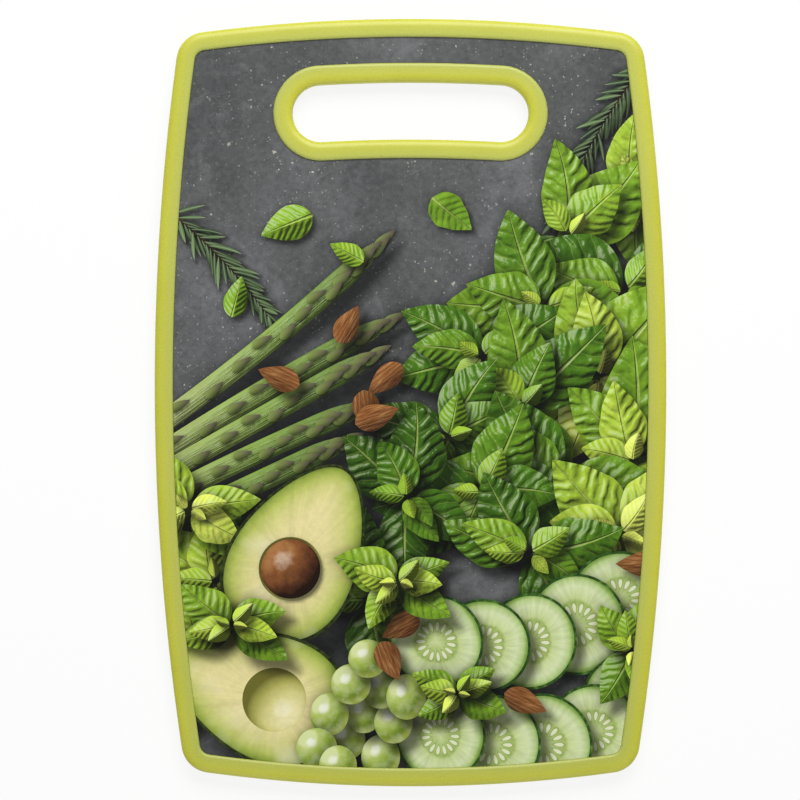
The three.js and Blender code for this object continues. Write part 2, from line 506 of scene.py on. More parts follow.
def asparagus(rng, root, turn, length, width, bend):
    """A spear with a few scales on its stalk and a tip of overlapping ones."""
    spear = Motif("spear", root, turn, length, width, SPEAR, bend, lift=8, tone=rng.random())
    scales = []
    for place, along in enumerate(SCALE_PLACES):
        tip = max(0.0, (along - 0.70) / 0.30)
        across = (0.55, -0.5, 0.0)[place % 3] * (1 - 0.75 * tip)
        foot = spear.place(np.array([(along, across)]))[0]
        way = turn + bend * along * length - 0.25 * across
        reach = length * (0.070 + 0.022 * tip)
        half = width * (0.42 + 0.10 * tip)
        scales.append(Motif("bract", foot, way, reach, half, BRACT, 0, lift=0.9, tone=rng.random()))
    return [spear] + scales[::-1]  # the tip of each scale lies over the foot of the next


def avocado_half(at, turn, length, width, stone):
    """Cut face of a half: thin dark skin, flesh, and its stone or the hollow that it left."""
    layers = []
    for ink, rind, lift in (("avocado_skin", 0, 14), ("avocado", 1.5, 0.3)):
        layers.append(Motif(ink, at, turn, length - rind, width - rind, EGG, 0, lift))
    middle = towards(at, turn, -STONE_OFFSET * length)
    hollow = 0.50 * width
    layers.append(Motif("hollow", middle, 0, hollow, hollow, DISC, 0, 0.1))
    if stone:
        layers.append(Motif("stone", middle, 0, 0.93 * hollow, 0.93 * hollow, DISC, 0, 2.2))
    return layers


def cucumber_slice(rng, at, radius):
    turn = rng.uniform(0, FULL_TURN)
    tall = radius * rng.uniform(0.94, 1.0)
    rind = 1.25
    return [
        Motif("cucumber_skin", at, turn, radius, tall, DISC, 0, 6, rng.random()),
        Motif("cucumber", at, turn, radius - rind, tall - rind, DISC, 0, 0.2, rng.random()),
    ]


def grape(rng, at, radius):
    return [Motif("grape", at, 0, radius, radius * rng.uniform(0.96, 1.14), DISC, 0, 7, rng.random())]


def almond(rng, at):
    turn = rng.uniform(0, FULL_TURN)
    length = rng.uniform(19, 22)
    half = rng.uniform(5.6, 6.6)
    return [Motif("almond", at, turn, length, half, ALMOND, 0, 6, rng.random())]


def still_life():
    """Everything pictured, from the bottom of the heap to its top."""
    rng = random.Random(7)
    heap = []
    heap += rosemary(rng, (112, 162), math.radians(232), 92, 0.003)
    heap += rosemary(rng, (-116, 92), math.radians(-38), 74, -0.004)
    for row in range(5):
        root = (-132 - 2.5 * row, -22 - 12.5 * row + rng.uniform(-2, 2))
        spread = math.radians(36 - 2.4 * row + rng.uniform(-2, 2))
        heap += asparagus(rng, root, spread, 158 - 7 * row, 5.2, rng.uniform(-0.0012, 0.0012))
    # tufts of herb: place and size
    bed = [
        (104, 98, 40), (74, 78, 46), (100, 52, 52), (62, 44, 50), (34, 22, 44), (88, 12, 56),
        (52, -2, 52), (104, -28, 54), (18, -16, 44), (70, -40, 56), (34, -42, 50), (-2, -44, 42),
        (98, -62, 50), (56, -70, 46), (-92, -84, 44), (-100, -118, 44), (-104, -50, 36), (-20, -92, 44),
    ]
    for x, y, size in bed:
        pale = 0.30 if y > 60 or (x > 80 and y < 20) or x < -80 else 0.0
        heap += rosette(rng, (x, y), size, rng.uniform(0, HALF_TURN), pale + rng.uniform(0.12, 0.42))
    heap += avocado_half((-52, -70), math.radians(62), 45, 30, stone=True)
    heap += avocado_half((-72, -136), math.radians(158), 44, 30, stone=False)
    slices = [
        (98, -92), (78, -104), (56, -112), (34, -114), (12, -112),
        (104, -140), (86, -154), (62, -160), (38, -160), (14, -156),
    ]
    for x, y in slices:
        heap += cucumber_slice(rng, (x, y), rng.uniform(21.5, 24))
    bunch = [
        (-30, -158), (-14, -166), (-22, -146), (-8, -150), (-38, -146), (-14, -134),
        (-28, -132), (-2, -138), (-20, -120), (-44, -162), (-34, -170),
    ]
    for x, y in bunch:
        heap += grape(rng, (x, y), rng.uniform(8.6, 10))
    nuts = [
        (-4, 18), (-22, 6), (-34, 28), (4, -100), (-26, -10), (-52, 8), (44, -136), (-14, -112), (118, -76),
    ]
    for spot in nuts:
        heap += almond(rng, spot)
    top = [(-84, -104, 30), (-6, -84, 30), (104, -116, 28), (22, -136, 24)]
    for x, y, size in top:
        heap += rosette(rng, (x, y), size, rng.uniform(0, HALF_TURN), 0.5)
    # loose leaves: place, length and bearing
    loose = [(-46, 88, 26, 200), (10, 96, 24, 320), (-84, 40, 20, 75), (-22, 66, 18, 150)]
    for x, y, length, degrees in loose:
        heap.append(leaf(rng, (x, y), math.radians(degrees), length, rng.uniform(0.4, 0.8), 3.0))
    return heap


# Film mesh

def distances(points, ring):
    """Distance from each point to a closed outline, below zero inside it."""
    start = ring[None, :, :]
    along = np.roll(ring, -1, axis=0)[None, :, :] - start
    shift = points[:, None, :] - start
    share = (shift * along).sum(-1) / (along * along).sum(-1)
    near = shift - along * share.clip(0, 1)[..., None]
    distance = np.sqrt((near * near).sum(-1)).min(1)
    high = shift[..., 1] < 0
    crosses = high != (shift[..., 1] - along[..., 1] < 0)
    rise = np.where(along[..., 1] == 0, 1e-9, along[..., 1])
    left = shift[..., 0] < along[..., 0] * shift[..., 1] / rise
    inside = (crosses & left).sum(1) % 2 == 1
    return np.where(inside, -distance, distance)


def smooth_step(low, high, value):
    share = ((value - low) / (high - low)).clip(0, 1)
    return share * share * (3 - 2 * share)


def cast_shadows(corners, owner, heap):
    """Share of light left at each face corner under the things that lie higher in the heap."""
    light = np.ones(len(corners))
    for order, thing in enumerate(heap, start=1):
        if thing.lift < LEAST_LIFT:
            continue
        reach = 2.2 * thing.lift + 2
        low = thing.outline.min(0) - reach
        high = thing.outline.max(0) + reach
        near = (owner < order) & (corners > low).all(1) & (corners < high).all(1)
        if not near.any():
            continue
        spots = corners[near]
        blur = 0.55 * thing.lift + 0.4
        fallen = distances(spots - SHADOW_WAY * thing.lift, thing.outline)
        cast = CAST_DEPTH * smooth_step(blur, -0.6 * blur, fallen)
        seam = SEAM_DEPTH * min(1, thing.lift / 2)
        touch = seam * np.exp(-distances(spots, thing.outline).clip(0) / (0.30 * thing.lift + 0.4))
        light[near] *= 1 - np.maximum(cast, touch)
    return light.clip(DEEPEST_SHADOW)


def film_front(heap):
    """The film's front as a flat mesh, with a region of faces for each pictured thing that shows."""
    inset = RIM_WIDTH + MOULD_GAP
    handle_inset = HANDLE_RIM_WIDTH + MOULD_GAP
    edge = np.array(edge_loop(board_arcs(), inset)) / MM
    hole = np.array(edge_loop(slot_arcs(), handle_inset))[::-1] / MM
    rings = [edge, hole] + [thing.outline for thing in heap]
    points = [Vector(point) for ring in rings for point in ring]
    starts = np.cumsum([0] + [len(ring) for ring in rings])
    faces = [list(range(starts[i], starts[i + 1])) for i in range(len(rings))]
    low, high = edge.min(0), edge.max(0)
    for row, y in enumerate(np.arange(low[1], high[1], GRID_STEP)):
        for x in np.arange(low[0] + GRID_STEP / 2 * (row % 2), high[0], GRID_STEP):
            points.append(Vector((x, y)))
    verts, _, tris, _, _, sources = delaunay_2d_cdt(points, [], faces, 0, MERGE_DISTANCE, True)
    shown = [i for i, source in enumerate(sources) if 0 in source and 1 not in source]
    mesh = bpy.data.meshes.new("printed_film_front")
    mesh.from_pydata([(v.x * MM, v.y * MM, FILM_HIGH[2]) for v in verts], [], [tris[i] for i in shown])
    owners = mesh.attributes.new("owner", "INT", "FACE")
    owners.data.foreach_set("value", [max(max(sources[i]) - 1, 0) for i in shown])
    return mesh


def film_body(front):
    """The film as a closed body: the front, the thin walls at its edges, and a back."""
    bm = bmesh.new()
    bm.from_mesh(front)
    bpy.data.meshes.remove(front)
    loose = [v for v in bm.verts if not v.link_faces]
    bmesh.ops.delete(bm, geom=loose, context="VERTS")
    rim_edges = [e for e in bm.edges if e.is_boundary]
    wall = bmesh.ops.extrude_edge_only(bm, edges=rim_edges)["geom"]
    lower = [v for v in wall if isinstance(v, bmesh.types.BMVert)]
    bmesh.ops.translate(bm, vec=(0, 0, FILM_LOW[2] - FILM_HIGH[2]), verts=lower)
    back = [e for e in wall if isinstance(e, bmesh.types.BMEdge) and e.is_boundary]
    bmesh.ops.triangle_fill(bm, use_beauty=True, edges=back)
    bmesh.ops.recalc_face_normals(bm, faces=bm.faces)
    return finished("printed_film_face", "printed_film", bm)


def printed_film(heap):
    """The film with each region in the ink of the thing that it shows."""
    film = film_body(film_front(heap))
    mesh = film.data

    inks = {name: printed(name, paint) for name, paint in INKS.items()}
    order = list(inks)
    for material in inks.values():
        mesh.materials.append(material)

    owner = np.zeros(len(mesh.polygons), dtype=int)
    mesh.attributes["owner"].data.foreach_get("value", owner)
    ink_of = np.array([0] + [order.index(thing.ink) for thing in heap])
    mesh.polygons.foreach_set("material_index", ink_of[owner])
    sizes = np.zeros(len(mesh.polygons), dtype=int)
    mesh.polygons.foreach_get("loop_total", sizes)
    corner_owner = np.repeat(owner, sizes)
    index = np.zeros(len(mesh.loops), dtype=int)
    mesh.loops.foreach_get("vertex_index", index)
    places = np.zeros(3 * len(mesh.vertices))
    mesh.vertices.foreach_get("co", places)
    corners = places.reshape(-1, 3)[index] / MM
    flat = corners[:, :2]

    own = flat.copy()
    tone = np.full(len(flat), 0.5)
    depth = np.zeros(len(flat))
    span = np.ones(len(flat))
    for number, thing in enumerate(heap, start=1):
        mine = corner_owner == number
        if mine.any():
            own[mine] = thing.own(flat[mine])
            tone[mine] = thing.tone
            span[mine] = thing.length
            depth[mine] = -distances(flat[mine], thing.outline)
    mesh.uv_layers.new(name="own").data.foreach_set("uv", own.astype(np.float32).ravel())
    light = cast_shadows(flat, corner_owner, heap)
    for name, values in (("tone", tone), ("depth", depth), ("span", span), ("shadow", light)):
        mesh.attributes.new(name, "FLOAT", "CORNER").data.foreach_set("value", values.astype(np.float32))
    mesh.attributes.remove(mesh.attributes["owner"])
    mesh.uv_layers.new(name="OFBake").data.foreach_set("uv", bake_map(mesh, corners, sizes).ravel())
    mesh.uv_layers["own"].active_render = True
    return film


# Places on the baked image, as shares of its side
FRONT_CORNER, FRONT_SIZE = np.array((0.02, 0.02)), 0.96
BACK_CORNER, BACK_SIZE = np.array((0.66, 0.02)), 0.48
SIDES_CORNER, SIDES_WIDTH, SIDES_COLUMNS = (0.67, 0.55), 0.30, 30
CELL_CORNERS = ((0.1, 0.1), (0.9, 0.1), (0.9, 0.9), (0.1, 0.9))


def bake_map(mesh, corners, sizes):
    """A map that gives the front most of the image, with the back and the thin sides beside it."""
    length = np.ptp(corners[:, 1])
    spread = (corners[:, :2] - corners[:, :2].min(0)) / length
    facing = np.zeros(3 * len(mesh.polygons))
    mesh.polygons.foreach_get("normal", facing)
    up = np.repeat(facing.reshape(-1, 3)[:, 2], sizes)
    places = FRONT_CORNER + FRONT_SIZE * spread
    back = up < -0.5
    places[back] = BACK_CORNER + BACK_SIZE * spread[back]
    sides = [p for p in mesh.polygons if abs(p.normal.z) < 0.5]
    cell = SIDES_WIDTH / SIDES_COLUMNS
    for count, side in enumerate(sides):
        row, column = divmod(count, SIDES_COLUMNS)
        for corner, (u, v) in zip(side.loop_indices, CELL_CORNERS):
            places[corner] = (SIDES_CORNER[0] + cell * (column + u), SIDES_CORNER[1] + cell * (row + v))
    return places.astype(np.float32)


# Inks

def picture_light(tree, normal):
    """How full the picture's light falls on a drawn surface, and how near that is to its glint."""
    full = add(tree, "VectorMath", (normal, PICTURE_LIGHT), out="Value", operation="DOT_PRODUCT")
    glint = add(tree, "VectorMath", (normal, PICTURE_GLINT), out="Value", operation="DOT_PRODUCT")
    return full, glint


def relief(tree, height):
    """Picture light on a drawn relief whose height is in millimetres."""
    return picture_light(tree, add(tree, "Bump", {"Height": height, "Distance": MM, "Strength": 1.0}))


def ball(tree, own, hollow=False):
    """Picture light on a ball, or in a hollow, that fills the motif's circle."""
    square = add(tree, "VectorMath", (own, own), out="Value", operation="DOT_PRODUCT")
    rest = add(tree, "Math", (1.0, square), operation="SUBTRACT", use_clamp=True)
    up = add(tree, "Math", (rest, 0.5), operation="POWER")
    side = -1.0 if hollow else 1.0
    flat = add(tree, "VectorMath", (own, (side, side, 0)), operation="MULTIPLY")
    lift = add(tree, "CombineXYZ", {"Z": up})
    return picture_light(tree, add(tree, "VectorMath", (flat, lift), operation="ADD"))


def glossed(tree, colour, glint, span, strength, code):
    """A colour with a highlight that grows over a span of the glint."""
    shine = add(tree, "MapRange", (glint, *span, 0.0, strength), **EASED)
    return add(tree, "Mix", {SHARE: shine, FIRST: colour, SECOND: linear(code)}, **COLOURS)


# Specks on the slate: their spacing, their largest share of it, and the drifts where they start and end
SPECKS = ((7.0, 0.15, 0.48, 0.60), (3.2, 0.21, 0.46, 0.64), (1.5, 0.27, 0.36, 0.72))


def slate(tree, place):
    """Dry slate: cloudy dark grey with pale dust, fine grain, specks and a few scratches."""
    cloud = add(tree, "TexNoise", {"Vector": place, "Scale": 1 / (95 * MM), "Detail": 4, "Roughness": 0.6})
    base = add(tree, "ValToRGB", (cloud,), stops=((0.30, "#454848"), (0.70, "#6a6a6c"), (0.52, "#595b5b")))
    grain = add(tree, "TexNoise", {"Vector": place, "Scale": 1 / (2.2 * MM), "Detail": 6, "Roughness": 0.75})
    base = varied(tree, base, grain, 0.62, 1.40, 0.25, 0.75)
    dust = add(tree, "TexNoise", {"Vector": place, "Scale": 1 / (34 * MM), "Detail": 8, "Roughness": 0.74})
    dusty = add(tree, "MapRange", (dust, 0.52, 0.76, 0.0, 0.50))
    base = add(tree, "Mix", {SHARE: dusty, FIRST: base, SECOND: linear("#8f9092")}, **COLOURS)
    # crumbs of three sizes in drifts, their edges broken by the grain
    jitter = add(tree, "TexNoise", {"Vector": place, "Scale": 1 / (0.9 * MM), "Detail": 1}, out="Color")
    broken = add(tree, "VectorMath", (jitter, (0.0016, 0.0016, 0), place), operation="MULTIPLY_ADD")
    drift = add(tree, "TexNoise", {"Vector": place, "Scale": 1 / (46 * MM), "Detail": 5, "Roughness": 0.7})
    for cell, largest, least, most in SPECKS:
        speck = add(tree, "TexVoronoi", {"Vector": broken, "Scale": 1 / (cell * MM), "Randomness": 1.0})
        size = add(tree, "SeparateColor", (speck.node.outputs["Color"],))
        limit = add(tree, "MapRange", (size, 0.35, 1.0, 0.0, largest))
        near = add(tree, "Math", (limit, speck), operation="SUBTRACT")
        spot = add(tree, "MapRange", (near, 0.0, 0.06, 0.0, 1.0))
        where = add(tree, "MapRange", (drift, least, most, 0.0, 0.85))
        spot = add(tree, "Math", (spot, where), operation="MULTIPLY")
        base = add(tree, "Mix", {SHARE: spot, FIRST: base, SECOND: linear("#d8d6c8")}, **COLOURS)
    for turn, long in ((0.5, 24 * MM), (-0.9, 15 * MM)):
        lengthwise = add(tree, "Mapping", {
            "Vector": place, "Rotation": (0, 0, turn), "Scale": (long, 0.55 * MM, 1),
        }, vector_type="TEXTURE")
        scratch = add(tree, "TexNoise", {"Vector": lengthwise, "Scale": 1.0, "Detail": 1})
        scratched = add(tree, "MapRange", (scratch, 0.72, 0.80, 0.0, 0.28))
        base = add(tree, "Mix", {SHARE: scratched, FIRST: base, SECOND: linear("#a3a3a3")}, **COLOURS)
    return base


def herb(tree, place):
    """Herb leaf: side veins sweep forward from the midrib, with a glossy blister between each two."""
    own = add(tree, "UVMap", uv_map="own")
    u = add(tree, "SeparateXYZ", (own,))
    v = u.node.outputs["Y"]
    tone = add(tree, "Attribute", out="Fac", attribute_name="tone")
    span = add(tree, "Attribute", out="Fac", attribute_name="span")
    across = add(tree, "Math", (v,), operation="ABSOLUTE")
    curl = add(tree, "Math", (across, 1.25), operation="POWER")
    sweep = add(tree, "Math", (curl, -0.26, u), operation="MULTIPLY_ADD")
    wander = add(tree, "TexNoise", {"Vector": place, "Scale": 1 / (8 * MM), "Detail": 1})
    side = add(tree, "Math", (v, 0.0), operation="GREATER_THAN")
    row = add(tree, "Math", (sweep, 7.0, wander), operation="MULTIPLY_ADD")
    row = add(tree, "Math", (side, 0.45, row), operation="MULTIPLY_ADD")
    between = add(tree, "Math", (row, 0.5), operation="PINGPONG")
    blister = add(tree, "MapRange", (between, 0.0, 0.5, 0.0, 1.0), interpolation_type="SMOOTHERSTEP")
    inner = add(tree, "MapRange", (across, 0.0, 0.3, 0.25, 1.0), **EASED)
    outer = add(tree, "MapRange", (across, 0.7, 1.0, 1.0, 0.1), **EASED)
    blister = add(tree, "Math", (blister, inner), operation="MULTIPLY")
    blister = add(tree, "Math", (blister, outer), operation="MULTIPLY")
    pucker = add(tree, "TexNoise", {"Vector": place, "Scale": 1 / (3.6 * MM), "Detail": 2})
    narrowing = add(tree, "Math", (1.15, u), operation="SUBTRACT")
    from_rib = add(tree, "Math", (across, narrowing), operation="DIVIDE")
    rib = add(tree, "MapRange", (from_rib, 0.02, 0.10, 1.0, 0.0), **EASED)
    # young leaves are smoother than full-grown ones
    swell = add(tree, "MapRange", (span, 8.0, 46.0, 0.03, 0.62))
    pucker = add(tree, "Math", (pucker, 0.45), operation="MULTIPLY")
    height = add(tree, "Math", (blister, swell, pucker), operation="MULTIPLY_ADD")
    height = add(tree, "Math", (rib, -0.5, height), operation="MULTIPLY_ADD")
    height = add(tree, "Math", (curl, -3.0, height), operation="MULTIPLY_ADD")
    ripple = add(tree, "TexNoise", {"Vector": place, "Scale": 1 / (11 * MM), "Detail": 0})
    height = add(tree, "Math", (ripple, 2.6, height), operation="MULTIPLY_ADD")
    full, glint = relief(tree, height)
    light = add(tree, "MapRange", (full, 0.20, 0.98, 0.12, 1.55))
    mottle = add(tree, "Math", (wander, 0.30, tone), operation="MULTIPLY_ADD")
    shade = add(tree, "MapRange", (mottle, 0.15, 1.15, 0.0, 1.0))
    green = add(tree, "ValToRGB", (shade,), stops=(
        (0.0, "#27440f"), (1.0, "#d3de62"), (0.28, "#477417"), (0.55, "#7aa326"), (0.80, "#a9c53c"),
    ))
    vein = add(tree, "MapRange", (between, 0.0, 0.06, 0.45, 0.0), **EASED)
    vein = add(tree, "Math", (vein, rib), operation="MAXIMUM")
    vein = add(tree, "Math", (vein, 0.55), operation="MULTIPLY")
    green = add(tree, "Mix", {SHARE: vein, FIRST: green, SECOND: linear("#b3c46a")}, **COLOURS)
    green = add(tree, "Mix", {SHARE: 1.0, FIRST: green, SECOND: light}, **TIMES)
    return glossed(tree, green, glint, (0.955, 1.0), 0.36, "#dfe9c4")


def needle(tree, place):
    """Rosemary needle: grey-green, with a pale groove along its middle."""
    own = add(tree, "UVMap", uv_map="own")
    v = add(tree, "SeparateXYZ", (own,), out="Y")
    tone = add(tree, "Attribute", out="Fac", attribute_name="tone")
    green = add(tree, "Mix", {SHARE: tone, FIRST: linear("#2f4a26"), SECOND: linear("#6d8a55")}, **COLOURS)
    groove = add(tree, "Math", (v,), operation="ABSOLUTE")
    pale = add(tree, "MapRange", (groove, 0.05, 0.45, 0.55, 0.0))
    return add(tree, "Mix", {SHARE: pale, FIRST: green, SECOND: linear("#a7b596")}, **COLOURS)


def stem(tree, place):
    """Woody stem: brown-green, lit as a round twig."""
    own = add(tree, "UVMap", uv_map="own")
    v = add(tree, "SeparateXYZ", (own,), out="Y")
    return add(tree, "ValToRGB", (v,), stops=((0.0, "#5b4f2e"), (1.0, "#94875a"), (0.5, "#7b6f42")))


def spear(tree, place):
    """Asparagus stalk: a round stem, pale at the cut and darker towards the tip, with fine ribs."""
    own = add(tree, "UVMap", uv_map="own")
    u = add(tree, "SeparateXYZ", (own,))
    v = u.node.outputs["Y"]
    square = add(tree, "Math", (v, v), operation="MULTIPLY")
    rest = add(tree, "Math", (1.0, square), operation="SUBTRACT", use_clamp=True)
    crown = add(tree, "Math", (rest, 0.5), operation="POWER")
    fine = add(tree, "Mapping", {"Vector": own, "Scale": (6, 9, 1)})
    rib = add(tree, "TexNoise", {"Vector": fine, "Scale": 1.0, "Detail": 3})
    height = add(tree, "Math", (crown, 4.4, rib), operation="MULTIPLY_ADD")
    full, glint = relief(tree, height)
    light = add(tree, "MapRange", (full, 0.0, 1.0, 0.18, 1.30))
    green = add(tree, "ValToRGB", (u,), stops=(
        (0.0, "#c6c99a"), (1.0, "#5d6a3a"), (0.25, "#9fb163"), (0.55, "#83a047"), (0.8, "#6f8b3e"),
    ))
    green = varied(tree, green, rib, 0.86, 1.12)
    green = add(tree, "Mix", {SHARE: 1.0, FIRST: green, SECOND: light}, **TIMES)
    return glossed(tree, green, glint, (0.96, 1.0), 0.35, "#e4ead2")


def bract(tree, place):
    """Scale on an asparagus spear: green at its foot, purple-brown at its tip."""
    own = add(tree, "UVMap", uv_map="own")
    u = add(tree, "SeparateXYZ", (own,))
    v = u.node.outputs["Y"]
    square = add(tree, "Math", (v, v), operation="MULTIPLY")
    height = add(tree, "Math", (square, -1.2), operation="MULTIPLY")
    full, _ = relief(tree, height)
    light = add(tree, "MapRange", (full, 0.0, 1.0, 0.35, 1.25))
    hue = add(tree, "ValToRGB", (u,), stops=((0.0, "#7c9045"), (1.0, "#5c4a4c"), (0.55, "#6d7448")))
    return add(tree, "Mix", {SHARE: 1.0, FIRST: hue, SECOND: light}, **TIMES)


def cucumber_skin(tree, place):
    """Cut edge of cucumber skin: dark green with pale streaks."""
    streak = add(tree, "TexNoise", {"Vector": place, "Scale": 1 / (4 * MM), "Detail": 3})
    return add(tree, "ValToRGB", (streak,), stops=((0.35, "#1f3d16"), (0.70, "#5f8a35"), (0.55, "#33591f")))


def cucumber(tree, place):
    """Cut cucumber: pale flesh, and a wet seed ring in three lobes."""
    own = add(tree, "UVMap", uv_map="own")
    u = add(tree, "SeparateXYZ", (own,))
    v = u.node.outputs["Y"]
    radius = add(tree, "VectorMath", (own,), out="Value", operation="LENGTH")
    angle = add(tree, "Math", (v, u), operation="ARCTAN2")
    thirds = add(tree, "Math", (angle, 3.0), operation="MULTIPLY")
    lobe = add(tree, "Math", (thirds,), operation="COSINE")
    reach = add(tree, "Math", (lobe, 0.030, radius), operation="MULTIPLY_ADD")
    flesh = add(tree, "ValToRGB", (reach,), stops=(
        (0.0, "#cfdca0"), (1.0, "#7fa048"), (0.20, "#b4c77c"), (0.46, "#a5bb69"), (0.53, "#c7d695"),
        (0.78, "#d6e2b0"), (0.92, "#b9d089"),
    ))
    fibre = add(tree, "CombineXYZ", {"X": angle, "Y": radius})
    fibre = add(tree, "Mapping", {"Vector": fibre, "Scale": (9, 2.5, 1)})
    fibre = add(tree, "TexNoise", {"Vector": fibre, "Scale": 1.0, "Detail": 3})
    flesh = varied(tree, flesh, fibre, 0.88, 1.10)
    cell = add(tree, "Math", (angle, 15 / (2 * math.pi)), operation="MULTIPLY")
    spot = add(tree, "Math", (cell,), operation="FRACT")
    spot = add(tree, "Math", (spot, 0.5), operation="SUBTRACT")
    wide = add(tree, "Math", (spot, 0.30), operation="DIVIDE")
    long = add(tree, "Math", (radius, 0.34), operation="SUBTRACT")
    long = add(tree, "Math", (long, 0.115), operation="DIVIDE")
    seed = add(tree, "CombineXYZ", {"X": wide, "Y": long})
    seed = add(tree, "VectorMath", (seed,), out="Value", operation="LENGTH")
    husk = add(tree, "MapRange", (seed, 0.75, 1.0, 1.0, 0.0), **EASED)
    halo = add(tree, "MapRange", (seed, 0.95, 1.5, 0.55, 0.0), **EASED)
    flesh = add(tree, "Mix", {SHARE: halo, FIRST: flesh, SECOND: linear("#7f9a45")}, **COLOURS)
    return add(tree, "Mix", {SHARE: husk, FIRST: flesh, SECOND: linear("#e3e8c2")}, **COLOURS)


def almond_skin(tree, place):
    """Almond: a brown papery skin, ridged along its length and dusty on the ridges."""
    own = add(tree, "UVMap", uv_map="own")
    v = add(tree, "SeparateXYZ", (own,), out="Y")
    square = add(tree, "Math", (v, v), operation="MULTIPLY")
    fine = add(tree, "Mapping", {"Vector": own, "Scale": (2.2, 5.5, 1)})
    ridge = add(tree, "TexNoise", {"Vector": fine, "Scale": 1.0, "Detail": 4, "Roughness": 0.6})
    height = add(tree, "Math", (square, -3.4, ridge), operation="MULTIPLY_ADD")
    full, _ = relief(tree, height)
    lit = add(tree, "MapRange", (full, 0.0, 1.0, 0.20, 1.25))
    brown = add(tree, "ValToRGB", (ridge,), stops=((0.30, "#5c3218"), (0.72, "#bd8a56"), (0.50, "#8d5a2f")))
    return add(tree, "Mix", {SHARE: 1.0, FIRST: brown, SECOND: lit}, **TIMES)


def avocado_skin(tree, place):
    """Edge of avocado skin: near black, a little green."""
    pebble = add(tree, "TexNoise", {"Vector": place, "Scale": 1 / (2.2 * MM), "Detail": 2})
    return add(tree, "ValToRGB", (pebble,), stops=((0.3, "#15170c"), (0.7, "#3d4a1f")))


def avocado_colour(tree, place):
    depth = add(tree, "Attribute", out="Fac", attribute_name="depth")
    cloud = add(tree, "TexNoise", {"Vector": place, "Scale": 1 / (9 * MM), "Detail": 3})
    deep = add(tree, "Math", (cloud, 2.5, depth), operation="MULTIPLY_ADD")
    share = add(tree, "MapRange", (deep, 0.8, 18.0, 0.0, 1.0))
    return add(tree, "ValToRGB", (share,), stops=(
        (0.0, "#6f8530"), (1.0, "#eadf9f"), (0.10, "#95a845"), (0.28, "#bcc664"), (0.55, "#d7d587"),
    ))


def avocado(tree, place):
    """Avocado flesh: green at the skin, turning to butter yellow, with faint fibres and a wet sheen."""
    flesh = avocado_colour(tree, place)
    own = add(tree, "UVMap", uv_map="own")
    ray = add(tree, "VectorMath", (own, (STONE_OFFSET, 0, 0)), operation="ADD")
    way = add(tree, "VectorMath", (ray,), operation="NORMALIZE")
    reach = add(tree, "VectorMath", (ray,), out="Value", operation="LENGTH")
    reach = add(tree, "CombineXYZ", {"Z": reach})
    fibre = add(tree, "VectorMath", (way, (9, 9, 0), reach), operation="MULTIPLY_ADD")
    fibre = add(tree, "TexNoise", {"Vector": fibre, "Scale": 1.0, "Detail": 3, "Roughness": 0.6})
    flesh = varied(tree, flesh, fibre, 0.91, 1.06)
    cut = add(tree, "TexNoise", {"Vector": place, "Scale": 1 / (2.4 * MM), "Detail": 4, "Roughness": 0.7})
    flesh = varied(tree, flesh, cut, 0.93, 1.05)
    smear = add(tree, "TexNoise", {"Vector": place, "Scale": 1 / (26 * MM), "Detail": 2})
    sheen = add(tree, "MapRange", (smear, 0.52, 0.72, 0.0, 0.45))
    return add(tree, "Mix", {SHARE: sheen, FIRST: flesh, SECOND: linear("#f6f1cf")}, **COLOURS)


def hollow(tree, place):
    """Smooth hollow that the stone leaves."""
    own = add(tree, "UVMap", uv_map="own")
    full, glint = ball(tree, own, hollow=True)
    light = add(tree, "ValToRGB", (full,), stops=(
        (0.0, "#6d6a2a"), (1.0, "#f0e7ae"), (0.35, "#a9a755"), (0.7, "#d9d389"),
    ))
    smear = add(tree, "TexNoise", {"Vector": place, "Scale": 1 / (3 * MM), "Detail": 4, "Roughness": 0.65})
    light = varied(tree, light, smear, 0.92, 1.06)
    glint = add(tree, "Math", (smear, 0.12, glint), operation="MULTIPLY_ADD")
    return glossed(tree, light, glint, (0.98, 1.08), 0.4, "#fdf9e2")


def stone(tree, place):
    """Avocado stone: a brown ball with a torn papery skin."""
    own = add(tree, "UVMap", uv_map="own")
    full, glint = ball(tree, own)
    torn = add(tree, "TexNoise", {"Vector": place, "Scale": 1 / (5 * MM), "Detail": 5, "Roughness": 0.65})
    lit = add(tree, "Math", (torn, 0.9, full), operation="MULTIPLY_ADD")
    lit = add(tree, "MapRange", (lit, 0.20, 1.45))
    brown = add(tree, "ValToRGB", (lit,), stops=(
        (0.05, "#1f0f07"), (1.0, "#ad7846"), (0.40, "#55301a"), (0.75, "#86532c"),
    ))
    glint = add(tree, "Math", (torn, 0.16, glint), operation="MULTIPLY_ADD")
    return glossed(tree, brown, glint, (0.99, 1.10), 0.45, "#f3e2cc")


